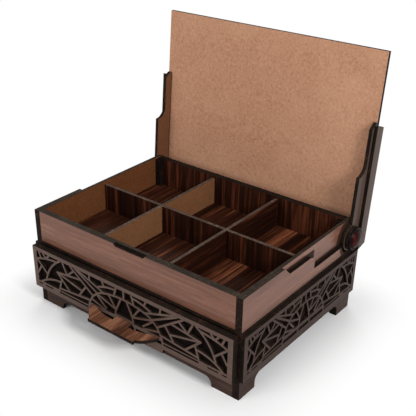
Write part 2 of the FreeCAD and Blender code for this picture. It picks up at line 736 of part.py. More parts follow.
side_height = "(base_height - side_fret_drop - side_fret_bottom)"
side_fret = fretwork(value(half_depth), value(side_height), "side_fret_bottom_frame")
for side, x in mirrored(half_width):
    piece = doc.addObject("Part::Feature", f"side_fretwork_{side}")
    piece.Shape = solid_of(side_fret)
    piece.Placement = FreeCAD.Placement(
        FreeCAD.Vector(value(x), value("origin_ahead"), value("side_fret_bottom")),
        FreeCAD.Rotation(FreeCAD.Vector(0, 0, 1), 90))
    keep(piece, f"side_fretwork_{side}")

doc.recompute()
for item in doc.Objects:
    if "Invalid" in item.State or "Error" in item.State:
        raise RuntimeError(f"{item.Label} did not recompute: {item.State}")
for node in nodes:
    if node.Shape.isNull() or not node.Shape.isValid() or node.Shape.Volume <= 0:
        raise RuntimeError(f"{node.Label} has no valid shape")

os.makedirs("parts", exist_ok=True)
for node in nodes:
    node.Shape.exportStep(f"parts/{node.Label}.step")
print(f"{len(nodes)} sub-parts written")
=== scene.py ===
"""Looks of a jewellery box of thin veneered board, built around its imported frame.

The boards come from the frame and get their veneers, raw faces and scorched edges here. The
turned rings and the domed stones on the lid's hubs are modelled anew.
"""

from __future__ import annotations

import logging
import math
from collections.abc import Iterable
from dataclasses import dataclass, field, replace
from enum import Enum

import bmesh
import bpy
from mathutils import Euler, Matrix, Vector

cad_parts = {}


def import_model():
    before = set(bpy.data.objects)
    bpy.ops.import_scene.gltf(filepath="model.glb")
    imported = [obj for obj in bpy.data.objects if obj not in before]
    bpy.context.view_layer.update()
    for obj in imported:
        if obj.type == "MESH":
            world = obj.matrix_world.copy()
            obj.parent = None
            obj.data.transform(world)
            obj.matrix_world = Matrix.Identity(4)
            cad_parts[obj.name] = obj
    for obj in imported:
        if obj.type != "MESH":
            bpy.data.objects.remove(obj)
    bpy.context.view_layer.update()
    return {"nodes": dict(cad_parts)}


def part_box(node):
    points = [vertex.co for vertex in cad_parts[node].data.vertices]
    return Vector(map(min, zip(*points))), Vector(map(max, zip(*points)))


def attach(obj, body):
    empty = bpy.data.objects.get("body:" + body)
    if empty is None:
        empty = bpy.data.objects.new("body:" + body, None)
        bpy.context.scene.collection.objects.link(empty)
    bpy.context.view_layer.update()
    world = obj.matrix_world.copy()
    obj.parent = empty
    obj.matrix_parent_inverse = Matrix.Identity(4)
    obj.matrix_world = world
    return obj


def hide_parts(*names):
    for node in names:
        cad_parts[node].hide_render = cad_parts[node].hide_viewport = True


log = logging.getLogger("jewellery_box")

OPEN_ANGLE = math.radians(94.0)
FACE_LIMIT = 0.8
FAR = 1.0
WELD_GAP = 1e-6
WHITE = (1.0, 1.0, 1.0)

Colour = tuple[float, float, float]
Point = tuple[float, float, float]
Corner = tuple[float, float]
Signal = bpy.types.NodeSocket


def from_screen(red: int, green: int, blue: int) -> Colour:
    """Turn a colour as seen on a screen into the linear values that shaders take.

    Args:
        red: Red from 0 to 255.
        green: Green from 0 to 255.
        blue: Blue from 0 to 255.

    Returns:
        The three linear values.
    """
    def linear(level: int) -> float:
        """Return the linear value of one level."""
        share = level / 255
        return share / 12.92 if share <= 0.04045 else ((share + 0.055) / 1.055) ** 2.4

    return linear(red), linear(green), linear(blue)


class Axis(Enum):
    """A direction of the box, as a unit vector."""

    ACROSS = (1.0, 0.0, 0.0)
    DEEP = (0.0, 1.0, 0.0)
    UP = (0.0, 0.0, 1.0)
    LID_FACE = (0.0, -math.sin(OPEN_ANGLE), -math.cos(OPEN_ANGLE))

    @property
    def vector(self) -> Vector:
        """Return the direction as a vector."""
        return Vector(self.value)


class Socket(Enum):
    """The kinds of socket that a shared node group uses."""

    VALUE = "NodeSocketFloat"
    COLOUR = "NodeSocketColor"
    VECTOR = "NodeSocketVector"


@dataclass(frozen=True)
class Noise:
    """A noise pattern: its scale, its octaves, how strong the finer ones are and its warp."""

    scale: float
    detail: float = 2.0
    roughness: float = 0.5
    distortion: float = 0.0


@dataclass(frozen=True)
class Ramp:
    """A smooth way from one result to another, over a range of values that may run downwards."""

    start: float
    end: float
    first: float = 0.0
    last: float = 1.0


@dataclass(frozen=True)
class Relief:
    """How strongly a height counts and how deep it goes."""

    strength: float
    depth: float


@dataclass
class Wiring:
    """Adds nodes to a material or a group and links them."""

    tree: bpy.types.NodeTree

    def add(self, kind: str, **settings: object) -> bpy.types.Node:
        """Add a node.

        Args:
            kind: The node's type name.
            settings: Properties of the node and their values.

        Returns:
            The new node.
        """
        node = self.tree.nodes.new(kind)
        for name, setting in settings.items():
            setattr(node, name, setting)
        return node

    def feed(self, node: bpy.types.Node, **inputs: object) -> bpy.types.Node:
        """Set or link the inputs of a node.

        Args:
            node: The node to feed.
            inputs: A value or an output for each input, by its name with underscores for
                spaces, or by n and its number.

        Returns:
            The same node.
        """
        for name, source in inputs.items():
            key = int(name[1:]) if name[0] == "n" and name[1:].isdigit() else name.replace("_", " ")
            socket = node.inputs[key]
            if isinstance(source, Signal):
                self.tree.links.new(source, socket)
            elif isinstance(source, tuple) and socket.type == "RGBA" and len(source) == 3:
                socket.default_value = (*source, 1.0)
            else:
                socket.default_value = source
        return node

    def math(self, operation: str, first: object, second: object) -> Signal:
        """Return what a Math node makes of two values, or of the first alone."""
        node = self.add("ShaderNodeMath", operation=operation)
        return self.feed(node, n0=first, n1=second).outputs[0]

    def vector_math(self, operation: str, first: object, second: object, output: str) -> Signal:
        """Return the named output of a Vector Math node."""
        node = self.add("ShaderNodeVectorMath", operation=operation)
        return self.feed(node, n0=first, n1=second).outputs[output]

    def mix(self, share: object, first: object, second: object, blend: str = "MIX") -> Signal:
        """Mix two colours.

        Args:
            share: How much of the second colour shows.
            first: First colour or output.
            second: Second colour or output.
            blend: The blend mode.

        Returns:
            The mixed colour's output.
        """
        node = self.add("ShaderNodeMix", data_type="RGBA", blend_type=blend, clamp_factor=True)
        return self.feed(node, n0=share, n6=first, n7=second).outputs[2]

    def blend_values(self, share: object, first: object, second: object) -> Signal:
        """Mix two plain values, by the share of the second."""
        node = self.add("ShaderNodeMix", data_type="FLOAT", clamp_factor=True)
        return self.feed(node, n0=share, n2=first, n3=second).outputs[0]

    def noise(self, point: Signal, pattern: Noise) -> Signal:
        """Return a noise pattern's value at a point."""
        node = self.add("ShaderNodeTexNoise")
        return self.feed(node, Vector=point, Scale=pattern.scale, Detail=pattern.detail,
                         Roughness=pattern.roughness, Distortion=pattern.distortion).outputs[0]

    def stretch(self, point: Signal, scale: Point, shift: Point = (0.0, 0.0, 0.0)) -> Signal:
        """Return a point scaled and moved along each axis."""
        node = self.add("ShaderNodeMapping", vector_type="POINT")
        return self.feed(node, Vector=point, Scale=scale, Location=shift).outputs[0]

    def steps(self, level: Signal, ramp: Ramp) -> Signal:
        """Return what a ramp makes of a value."""
        node = self.add("ShaderNodeMapRange", interpolation_type="SMOOTHSTEP")
        return self.feed(node, Value=level, n1=ramp.start, n2=ramp.end, n3=ramp.first,
                         n4=ramp.last).outputs[0]

    def coordinates(self, point: Signal) -> tuple[Signal, ...]:
        """Return the three coordinates of a point or a direction."""
        return tuple(self.feed(self.add("ShaderNodeSeparateXYZ"), Vector=point).outputs)

    def bump(self, height: Signal, relief: Relief) -> Signal:
        """Return the normals that a height gives."""
        node = self.add("ShaderNodeBump")
        return self.feed(node, Height=height, Strength=relief.strength,
                         Distance=relief.depth).outputs[0]

    def group(self, tree: bpy.types.NodeTree, **inputs: object) -> bpy.types.bpy_prop_collection:
        """Place a shared group, feed it and return its outputs."""
        return self.feed(self.add("ShaderNodeGroup", node_tree=tree), **inputs).outputs

    def principled(self, **inputs: object) -> Signal:
        """Return a Principled shader with these inputs."""
        return self.feed(self.add("ShaderNodeBsdfPrincipled"), **inputs).outputs[0]

    def end(self, shader: Signal, kind: str = "ShaderNodeOutputMaterial") -> None:
        """Send a shader to the tree's output."""
        self.feed(self.add(kind), Surface=shader)

    def white(self, kind: str, strength: float = 1.0) -> Signal:
        """Return a white light of a node type, such as an emission or a background."""
        return self.feed(self.add(kind), Color=WHITE, Strength=strength).outputs[0]

    def where_seen(self, share: object, hidden: Signal, seen: Signal) -> Signal:
        """Mix two shaders by what is seen directly, in a reflection or through glass.

        Args:
            share: How much of the seen shader shows there.
            hidden: The shader for all other rays.
            seen: The shader for what is seen.

        Returns:
            The mixed shader.
        """
        path = self.add("ShaderNodeLightPath").outputs
        rays = self.math("MAXIMUM", path["Is Camera Ray"], path["Is Glossy Ray"])
        rays = self.math("MAXIMUM", rays, path["Is Transmission Ray"])
        share = self.math("MULTIPLY", share, rays)
        blend = self.add("ShaderNodeMixShader")
        return self.feed(blend, n0=share, n1=hidden, n2=seen).outputs[0]


def new_material(name: str) -> tuple[bpy.types.Material, Wiring]:
    """Make a material that holds no node yet.

    Args:
        name: The material's name.

    Returns:
        The material and its wiring.
    """
    material = bpy.data.materials.new(name)
    material.use_nodes = True
    material.node_tree.nodes.clear()
    return material, Wiring(material.node_tree)


def new_object(mesh: bmesh.types.BMesh, name: str,
               material: bpy.types.Material) -> bpy.types.Object:
    """Turn a mesh into an object of the scene.

    Args:
        mesh: The mesh, which is used up.
        name: The object's name.
        material: Its material.

    Returns:
        The new object.
    """
    data = bpy.data.meshes.new(name)
    mesh.to_mesh(data)
    mesh.free()
    data.materials.append(material)
    piece = bpy.data.objects.new(name, data)
    bpy.context.scene.collection.objects.link(piece)
    return piece


@dataclass
class GroupMaker:
    """Makes a shared shader node group with named inputs and outputs."""

    name: str
    inputs: dict[str, Socket]
    outputs: dict[str, Socket] = field(
        default_factory=lambda: {"Colour": Socket.COLOUR, "Height": Socket.VALUE})
    tree: bpy.types.NodeTree = field(init=False)
    wiring: Wiring = field(init=False)
    source: bpy.types.Node = field(init=False)
    sink: bpy.types.Node = field(init=False)

    def __post_init__(self) -> None:
        """Make the empty group."""
        self.tree = bpy.data.node_groups.new(self.name, "ShaderNodeTree")
        for way, sockets in (("INPUT", self.inputs), ("OUTPUT", self.outputs)):
            for name, kind in sockets.items():
                self.tree.interface.new_socket(name, in_out=way, socket_type=kind.value)
        self.wiring = Wiring(self.tree)
        self.source = self.wiring.add("NodeGroupInput")
        self.sink = self.wiring.add("NodeGroupOutput")

    def take(self, name: str) -> Signal:
        """Return one of the group's inputs as it is seen inside."""
        return self.source.outputs[name]

    def give(self, name: str, result: Signal) -> None:
        """Link a result to one of the group's outputs."""
        self.tree.links.new(result, self.sink.inputs[name])


def face_masks() -> bpy.types.NodeTree:
    """Make the group that tells a board's two faces from its cut edges.

    Returns:
        The node group. It puts out 1 on the cut edges, 1 on the face that the axis leaves, 1 on
        the face behind it, and 1 on the edges that look up.
    """
    group = GroupMaker("board_face_masks", {"Normal": Socket.VECTOR, "Axis": Socket.VECTOR},
                       dict.fromkeys(("Edge", "Ahead", "Behind", "Rim"), Socket.VALUE))
    wire = group.wiring
    facing = wire.vector_math("DOT_PRODUCT", group.take("Normal"), group.take("Axis"), "Value")
    edge = wire.math("LESS_THAN", wire.math("ABSOLUTE", facing, 0.0), FACE_LIMIT)
    rising = wire.math("GREATER_THAN", wire.coordinates(group.take("Normal"))[2], FACE_LIMIT)
    group.give("Edge", edge)
    group.give("Ahead", wire.math("GREATER_THAN", facing, FACE_LIMIT))
    group.give("Behind", wire.math("LESS_THAN", facing, -FACE_LIMIT))
    group.give("Rim", wire.math("MULTIPLY", edge, rising))
    return group.tree


@dataclass(frozen=True)
class FigureLook:
    """How the stripes, fibres and pores of a veneer are drawn, in the point's own scale."""

    zones: Noise = Noise(1.0, detail=1.0)
    zone_scale: float = 0.22
    zone_shift: Point = (5.3, 2.9, 8.1)
    zone_share: float = 0.28
    bands: Noise = Noise(1.0, detail=3.0, roughness=0.6, distortion=0.2)
    band_share: float = 0.45
    fine: Noise = Noise(4.3, detail=3.0, roughness=0.6)
    fine_share: float = 0.27
    middle: float = 0.5
    dark_to_middle: Ramp = Ramp(0.32, 0.50)
    middle_to_light: Ramp = Ramp(0.50, 0.68)
    fibres: Noise = Noise(17.0, roughness=0.6)
    fibre_floor: float = 0.75
    fibre_gain: float = 0.5
    fibre_rise: float = 0.4
    pores: Noise = Noise(9.0, detail=1.0)
    pore_scale: float = 1.6
    pore_shift: Point = (3.1, 1.7, 0.4)
    pore_limit: Ramp = Ramp(0.60, 0.68)
    pore_dark: float = 0.45
    pore_fall: float = 0.6


def veneer_figure(look: FigureLook = FigureLook()) -> bpy.types.NodeTree:
    """Make the group that draws the stripes, fibres and pores of a veneer.

    Args:
        look: How they are drawn.

    Returns:
        The node group. The point that it reads is already stretched along the grain.
    """
    group = GroupMaker("veneer_figure", {
        "Point": Socket.VECTOR,
        "Dark": Socket.COLOUR,
        "Middle": Socket.COLOUR,
        "Light": Socket.COLOUR,
        "Contrast": Socket.VALUE,
        "Lift": Socket.VALUE,
    })
    wire = group.wiring
    point = group.take("Point")
    wide = wire.stretch(point, (look.zone_scale,) * 3, look.zone_shift)
    figure = 0.0
    for place, pattern, share in ((point, look.bands, look.band_share),
                                  (point, look.fine, look.fine_share),
                                  (wide, look.zones, look.zone_share)):
        figure = wire.math("ADD", figure, wire.math("MULTIPLY", wire.noise(place, pattern), share))
    spread = wire.math("MULTIPLY", wire.math("SUBTRACT", figure, look.middle),
                       group.take("Contrast"))
    level = wire.math("ADD", wire.math("ADD", spread, look.middle), group.take("Lift"))
    lower = wire.mix(wire.steps(level, look.dark_to_middle), group.take("Dark"),
                     group.take("Middle"))
    colour = wire.mix(wire.steps(level, look.middle_to_light), lower, group.take("Light"))
    fibres = wire.noise(point, look.fibres)
    shade = wire.math("ADD", wire.math("MULTIPLY", fibres, look.fibre_gain), look.fibre_floor)
    grey = wire.feed(wire.add("ShaderNodeCombineColor"), Red=shade, Green=shade, Blue=shade)
    colour = wire.mix(1.0, colour, grey.outputs[0], "MULTIPLY")
    dots = wire.noise(wire.stretch(point, (look.pore_scale,) * 3, look.pore_shift), look.pores)
    pore = wire.steps(dots, look.pore_limit)
    colour = wire.mix(wire.math("MULTIPLY", pore, look.pore_dark), colour, group.take("Dark"))
    group.give("Colour", colour)
    group.give("Height", wire.math("SUBTRACT", wire.math("MULTIPLY", fibres, look.fibre_rise),
                                   wire.math("MULTIPLY", pore, look.pore_fall)))
    return group.tree


@dataclass(frozen=True)
class FibreLook:
    """How the felted specks of raw fibreboard are drawn, in the box's own metres."""

    clouds: Noise = Noise(26.0, detail=3.0)
    felt: Noise = Noise(420.0, detail=3.0, roughness=0.7)
    specks: Noise = Noise(1150.0, detail=1.0)
    dark_specks: Ramp = Ramp(0.60, 0.72, last=0.6)
    fluff: Ramp = Ramp(0.50, 0.74, last=0.35)
    hollows: Ramp = Ramp(0.50, 0.30, last=0.5)
    drifts: Ramp = Ramp(0.35, 0.70, last=0.2)


def fibre_board(look: FibreLook = FibreLook()) -> bpy.types.NodeTree:
    """Make the group that draws the felted specks of raw fibreboard.

    Args:
        look: How they are drawn.

    Returns:
        The node group.
    """
    group = GroupMaker("fibre_board", {
        "Point": Socket.VECTOR,
        "Body": Socket.COLOUR,
        "Specks": Socket.COLOUR,
        "Fluff": Socket.COLOUR,
    })
    wire = group.wiring
    point = group.take("Point")
    clouds, felt, specks = (wire.noise(point, pattern)
                            for pattern in (look.clouds, look.felt, look.specks))
    colour = group.take("Body")
    for pattern, ramp, tint in ((specks, look.dark_specks, "Specks"), (felt, look.fluff, "Fluff"),
                                (felt, look.hollows, "Specks"), (clouds, look.drifts, "Fluff")):
        colour = wire.mix(wire.steps(pattern, ramp), colour, group.take(tint))
    group.give("Colour", colour)
    group.give("Height", felt)
    return group.tree


@dataclass(frozen=True)
class ScorchLook:
    """How the scorched brown of a laser-cut edge is drawn, in the box's own metres."""

    streaks: Noise = Noise(700.0)
    streak_limit: Ramp = Ramp(0.42, 0.70)
    patches: Noise = Noise(60.0)
    patch_limit: Ramp = Ramp(0.35, 0.65)


def scorched_edge(look: ScorchLook = ScorchLook()) -> bpy.types.NodeTree:
    """Make the group that draws the scorched brown of a laser-cut edge.

    Args:
        look: How it is drawn.

    Returns:
        The node group.
    """
    group = GroupMaker("scorched_edge", {
        "Point": Socket.VECTOR,
        "Char": Socket.COLOUR,
        "Toast": Socket.COLOUR,
    })
    wire = group.wiring
    point = group.take("Point")
    streaks = wire.noise(point, look.streaks)
    patches = wire.noise(point, look.patches)
    share = wire.math("MULTIPLY", wire.steps(streaks, look.streak_limit),
                      wire.steps(patches, look.patch_limit))
    group.give("Colour", wire.mix(share, group.take("Char"), group.take("Toast")))
    group.give("Height", streaks)
    return group.tree


@dataclass(frozen=True)
class EdgeFinish:
    """Colours of a laser-cut edge, and of its upper side, paler from dust and from painted light
    from above.
    """

    char: Colour = from_screen(22, 16, 13)
    toast: Colour = from_screen(52, 36, 28)
    rim_dust_and_light_char: Colour = from_screen(30, 23, 19)
    rim_dust_and_light_toast: Colour = from_screen(62, 45, 36)
    rim_height: float = 0.0
    roughness: float = 0.7


@dataclass(frozen=True)
class RawFace:
    """Colours of raw fibreboard."""

    body: Colour = from_screen(172, 127, 100)
    specks: Colour = from_screen(132, 90, 66)
    fluff: Colour = from_screen(202, 160, 132)
    roughness: float = 0.9


@dataclass(frozen=True)
class Veneer:
    """A veneer: its colours, how wide and how long its stripes are, and its varnish."""

    name: str
    dark: Colour
    middle: Colour
    light: Colour
    stripe: float = 0.0035
    run: float = 0.12
    contrast: float = 1.3
    roughness: float = 0.45
    varnish: float = 0.0
    varnish_roughness: float = 0.22
    shine: float = 0.05
    edge: EdgeFinish = EdgeFinish()


# The rims' paler colours hold dust and painted light from above.
WALL_RIM = EdgeFinish(rim_dust_and_light_char=from_screen(44, 37, 31), rim_dust_and_light_toast=from_screen(70, 59, 51),
                      rim_height=0.0885)
DIVIDER_RIM = EdgeFinish(rim_dust_and_light_char=from_screen(70, 58, 50), rim_dust_and_light_toast=from_screen(116, 99, 88))

OUTER = Veneer("outer_veneer", from_screen(86, 55, 43), from_screen(107, 70, 55),
               from_screen(128, 87, 69), stripe=0.0024, run=0.05, contrast=1.2, varnish=0.5)
FOOT = Veneer("foot_veneer", from_screen(38, 26, 22), from_screen(54, 38, 32),
              from_screen(70, 50, 43), stripe=0.0028, run=0.06, contrast=1.2, varnish=0.06)
TRAY_OUTER = replace(OUTER, edge=WALL_RIM)
INNER = Veneer("inner_veneer", from_screen(18, 8, 5), from_screen(36, 16, 9),
               from_screen(88, 46, 29), contrast=1.35, edge=WALL_RIM)
DIVIDER = replace(INNER, name="divider_veneer", edge=DIVIDER_RIM)
FLOOR = Veneer("floor_veneer", from_screen(26, 12, 8), from_screen(54, 27, 16),
               from_screen(138, 81, 54), contrast=1.4)
FRET = Veneer("fret_veneer", from_screen(62, 47, 41), from_screen(82, 64, 56),
              from_screen(100, 81, 71), stripe=0.003, contrast=0.9, varnish=0.2)
# The front fretwork's veneer, painted darker on the sides as painted shade.
SHADED_SIDE_FRET = replace(FRET, name="shaded_side_fret_veneer", dark=from_screen(46, 35, 32),
                    middle=from_screen(62, 48, 43), light=from_screen(78, 62, 56),
                    varnish=0.04, shine=0.04)
PULL = Veneer("pull_veneer", from_screen(58, 34, 25), from_screen(102, 65, 47),
              from_screen(146, 101, 77), stripe=0.0028, run=0.05, contrast=1.6, varnish=0.15)
ARM = Veneer("arm_veneer", from_screen(56, 44, 38), from_screen(74, 59, 51),
             from_screen(92, 75, 66), stripe=0.0024, run=0.08, contrast=1.0, varnish=0.15)
BLACK = Veneer("black_board", from_screen(12, 9, 8), from_screen(17, 13, 11),
               from_screen(24, 19, 16), contrast=0.8, roughness=0.7, shine=0.02)
LID_RAW = RawFace()
# The lid's raw fibreboard, painted darker as painted shade on the arms' inner faces, the tray's
# inner walls and the dividers.
SHADED_ARM_RAW = RawFace(body=from_screen(106, 69, 48), specks=from_screen(84, 52, 35),
                  fluff=from_screen(126, 86, 62))
SHADED_WALL_RAW = RawFace(body=from_screen(103, 62, 36), specks=from_screen(80, 46, 26),
                   fluff=from_screen(124, 80, 49))
SHADED_DIVIDER_RAW = RawFace(body=from_screen(116, 78, 51), specks=from_screen(90, 57, 36),
                      fluff=from_screen(140, 98, 68))


@dataclass(frozen=True)
class Streaked:
    """The finish of a piece that isn't board: streaks from a dark to a light colour."""

    name: str
    dark: Colour
    light: Colour
    stretch: Point
    streaks: Noise
    rough: Ramp
    limit: Ramp | None = None
    haze: Noise | None = None
    shine: float = 0.5
    metal: float = 0.0
    varnish: float = 0.0
    varnish_roughness: float = 0.15
    relief: Relief | None = None


STONE = Streaked("dark_red_stone", from_screen(20, 4, 5), from_screen(68, 14, 13),
                 (160.0, 260.0, 120.0), Noise(1.0, detail=3.0, distortion=0.6),
                 Ramp(0.4, 0.7, 0.34, 0.5), limit=Ramp(0.35, 0.70), haze=Noise(900.0), shine=0.05)
RING = Streaked("varnished_ring", from_screen(8, 6, 6), from_screen(20, 15, 13),
                (90.0, 400.0, 400.0), Noise(1.0, detail=3.0), Ramp(0.3, 0.7, 0.28, 0.4),
                limit=Ramp(0.35, 0.68), shine=0.04, varnish=0.05,
                relief=Relief(0.2, 0.0001))
PIN_STEEL = Streaked("pin_steel", from_screen(120, 118, 116), from_screen(176, 174, 170),
                     (40.0, 2400.0, 2400.0), Noise(1.0), Ramp(0.3, 0.7, 0.25, 0.4), metal=1.0)


class Face(Enum):
    """One of a board's two broad faces, named from the axis that the board is given."""

    AHEAD = "Ahead"
    BEHIND = "Behind"


OUTSIDE = {"left": Face.BEHIND, "right": Face.AHEAD}
INSIDE = {"left": Face.AHEAD, "right": Face.BEHIND}


@dataclass(frozen=True)
class Region:
    """A box of space with soft sides; a side that isn't given lies far off."""

    low: Point = (-FAR, -FAR, -FAR)
    high: Point = (FAR, FAR, FAR)
    fade: float = 0.0008


@dataclass(frozen=True)
class PaintedShade:
    """A region in which a board's face is painted nearly black, as painted shade."""

    face: Face
    region: Region = Region()
    depth: float = 0.9


@dataclass(frozen=True)
class PaintedLight:
    """A region in which a veneer's figure is painted lighter, as painted light."""

    region: Region
    lift: float


@dataclass(frozen=True)
class PaintedShadeRound:
    """A round of a side board's face painted dark as painted shade, about a point across it."""

    face: Face
    centre: Point
    radius: float
    depth: float = 0.85
    fade: float = 0.0015


@dataclass(frozen=True)
class Board:
    """How one board of the frame is finished."""

    node: str
    veneer: Veneer
    face: Axis
    grain: Axis
    raw: Face | None = None
    raw_look: RawFace = SHADED_WALL_RAW
    # Painted shade on the board's faces.
    painted_shade: tuple[PaintedShade | PaintedShadeRound, ...] = ()
    # Painted light on the board's figure.
    painted_light: tuple[PaintedLight, ...] = ()


@dataclass
class Surface:
    """One board's surface, laid up in its material's nodes from the wood outwards."""

    shop: Workshop
    board: Board
    wire: Wiring
    here: Signal = field(init=False)
    masks: bpy.types.bpy_prop_collection = field(init=False)
    colour: Signal = field(init=False)
    height: Signal = field(init=False)
    rough: object = field(init=False)
    coat: object = field(init=False)

    def __post_init__(self) -> None:
        """Start from the board's veneer, with its own run of grain."""
        place = self.wire.add("ShaderNodeTexCoord").outputs
        self.here = place["Object"]
        self.masks = self.wire.group(self.shop.masks, Normal=place["Normal"],
                                     Axis=self.board.face.value)
        veneer = self.board.veneer
        figure = self.wire.group(self.shop.figure, Point=self.grained(), Dark=veneer.dark,
                                 Middle=veneer.middle, Light=veneer.light,
                                 Contrast=veneer.contrast, Lift=self.lift())
        self.colour, self.height = figure["Colour"], figure["Height"]
        self.rough, self.coat = veneer.roughness, veneer.varnish

    def grained(self) -> Signal:
        """Stretch the point along the board's grain and move it to the board's own sheet.

        Returns:
            The point at which the veneer is read.
        """
        along, across = 1.0 / self.board.veneer.run, 1.0 / self.board.veneer.stripe
        scale = tuple(along * abs(part) + across * (1.0 - abs(part))
                      for part in self.board.grain.vector)
        return self.wire.stretch(self.here, scale, self.shop.sheet_shift())

    def within(self, region: Region) -> Signal | float:
        """Return how far a point lies within a region.

        Args:
            region: The region.

        Returns:
            The share, 1 inside and 0 outside.
        """
        share, fade = 1.0, region.fade
        for place, low, high in zip(self.wire.coordinates(self.here), region.low, region.high):
            ramps = [Ramp(low - fade, low + fade)] if low > -FAR else []
            ramps += [Ramp(high + fade, high - fade)] if high < FAR else []
            for ramp in ramps:
                share = self.wire.math("MULTIPLY", share, self.wire.steps(place, ramp))
        return share

    def lift(self) -> Signal | float:
        """Add up the regions in which the board's figure is painted lighter, as painted light.

        Returns:
            What is added to the figure's level.
        """
        total = 0.0
        for light_patch in self.board.painted_light:
            part = self.wire.math("MULTIPLY", self.within(light_patch.region), light_patch.lift)
            total = self.wire.math("ADD", total, part)
        return total

    def painted_shade_share(self, painted_shade: PaintedShade | PaintedShadeRound) -> Signal:
        """Return where a face gets painted shade.

        Args:
            painted_shade: The region or the round of painted shade.

        Returns:
            The share that is painted dark.
        """
        if isinstance(painted_shade, PaintedShade):
            area = self.within(painted_shade.region)
        else:
            flat = self.wire.stretch(self.here, (0.0, 1.0, 1.0))
            gap = self.wire.vector_math("DISTANCE", flat, painted_shade.centre, "Value")
            area = self.wire.steps(gap, Ramp(painted_shade.radius + painted_shade.fade, painted_shade.radius - painted_shade.fade))
        share = self.wire.math("MULTIPLY", area, painted_shade.depth)
        return self.wire.math("MULTIPLY", share, self.masks[painted_shade.face.value])

    def cover(self, share: Signal, colour: object, rough: float,
              height: Signal | None = None) -> None:
        """Lay an unvarnished finish over a share of the surface.

        Args:
            share: Where the finish lies.
            colour: Its colour.
            rough: Its roughness.
            height: Its relief, or none to keep what is there.
        """
        self.colour = self.wire.mix(share, self.colour, colour)
        if height is not None:
            self.height = self.wire.blend_values(share, self.height, height)
        self.rough = self.wire.blend_values(share, self.rough, rough)
        self.coat = self.wire.blend_values(share, self.coat, 0.0)

    def cover_faces(self) -> None:
        """Lay the raw face and the painted shade over the veneer."""
        raw, edge = self.board.raw_look, self.board.veneer.edge
        if self.board.raw is not None:
            fibres = self.wire.group(self.shop.fibres, Point=self.here, Body=raw.body,
                                     Specks=raw.specks, Fluff=raw.fluff)
            self.cover(self.masks[self.board.raw.value], fibres["Colour"], raw.roughness,
                       fibres["Height"])
        for painted_shade in self.board.painted_shade:
            # Painted shade, in the cut edges' char colour.
            self.cover(self.painted_shade_share(painted_shade), edge.char, edge.roughness)

    def cover_edges(self) -> None:
        """Scorch the cut edges, and pale those that look up above the rim's height with dust and
        painted light from above.
        """
        edge = self.board.veneer.edge
        scorch = self.wire.group(self.shop.scorch, Point=self.here, Char=edge.char,
                                 Toast=edge.toast)
        self.cover(self.masks["Edge"], scorch["Colour"], edge.roughness, scorch["Height"])
        rim = self.wire.group(self.shop.scorch, Point=self.here, Char=edge.rim_dust_and_light_char,
                              Toast=edge.rim_dust_and_light_toast)
        high = self.wire.math("GREATER_THAN", self.wire.coordinates(self.here)[2],
                              edge.rim_height)
        self.cover(self.wire.math("MULTIPLY", high, self.masks["Rim"]), rim["Colour"],
                   edge.roughness)


@dataclass
class Workshop:
    """Holds the shared node groups and makes the materials from them."""

    masks: bpy.types.NodeTree = field(default_factory=face_masks)
    figure: bpy.types.NodeTree = field(default_factory=veneer_figure)
    fibres: bpy.types.NodeTree = field(default_factory=fibre_board)
    scorch: bpy.types.NodeTree = field(default_factory=scorched_edge)
    next_sheet: Point = (0.371, 0.617, 0.233)
    relief: Relief = Relief(0.35, 0.0002)
    made: int = 0

    def sheet_shift(self) -> Point:
        """Return how far the grain of the board in work lies from the first one's."""
        return tuple(self.made * part for part in self.next_sheet)

    def board_material(self, board: Board) -> bpy.types.Material:
        """Make the material of one board.

        Args:
            board: The board's finish.

        Returns:
            The material.
        """
        self.made += 1
        material, wire = new_material(f"{board.node}_{board.veneer.name}")
        surface = Surface(self, board, wire)
        surface.cover_faces()
        surface.cover_edges()
        wire.end(wire.principled(Base_Color=surface.colour, Roughness=surface.rough,
                                 Specular_IOR_Level=board.veneer.shine,
                                 Coat_Weight=surface.coat,
                                 Coat_Roughness=board.veneer.varnish_roughness,
                                 Normal=wire.bump(surface.height, self.relief)))
        return material

    def streaked(self, finish: Streaked) -> bpy.types.Material:
        """Make the material of a piece that isn't board.

        Args:
            finish: The piece's finish.

        Returns:
            The material.
        """
        material, wire = new_material(finish.name)
        here = wire.add("ShaderNodeTexCoord").outputs["Object"]
        streaks = wire.noise(wire.stretch(here, finish.stretch), finish.streaks)
        share = wire.steps(streaks, finish.limit) if finish.limit else streaks
        haze = wire.noise(here, finish.haze) if finish.haze else streaks
        relief = {"Normal": wire.bump(streaks, finish.relief)} if finish.relief else {}
        wire.end(wire.principled(Base_Color=wire.mix(share, finish.dark, finish.light),
                                 Roughness=wire.steps(haze, finish.rough),
                                 Metallic=finish.metal, Specular_IOR_Level=finish.shine,
                                 Coat_Weight=finish.varnish,
                                 Coat_Roughness=finish.varnish_roughness, **relief))
        return material


@dataclass
class SubAssembly:
    """A part of the box that is made of boards of the frame.

    Its own sizes are in metres, in the frame's coordinates.
    """

    nodes: dict[str, bpy.types.Object]
    shop: Workshop
    broken_edge: float = 0.00012
    sharp_turn: float = math.radians(40.0)

    def finish(self, board: Board) -> None:
        """Give one board its material and the fine break of its edges.

        Args:
            board: The board's finish.
        """
        piece = self.nodes[board.node]
        material = self.shop.board_material(board)
        for holder in piece.material_slots:
            holder.material = material
        weld = piece.modifiers.new("weld", "WELD")
        weld.merge_threshold = WELD_GAP
        bevel = piece.modifiers.new("broken_edges", "BEVEL")
        bevel.width = self.broken_edge
        bevel.segments = 1
        bevel.limit_method = "ANGLE"
        bevel.angle_limit = self.sharp_turn
        log.info("%s: %s dressed in %s", type(self).__name__, board.node, board.veneer.name)

    def finish_pair(self, stem: str, veneer: Veneer, face: Axis, grain: Axis) -> None:
        """Finish a left and a right board alike.

        Args:
            stem: What both names begin with.
            veneer: Their veneer.
            face: The axis that their faces look along.
            grain: The axis that their grain runs along.
        """
        for side in OUTSIDE:
            self.finish(Board(f"{stem}_{side}", veneer, face, grain))


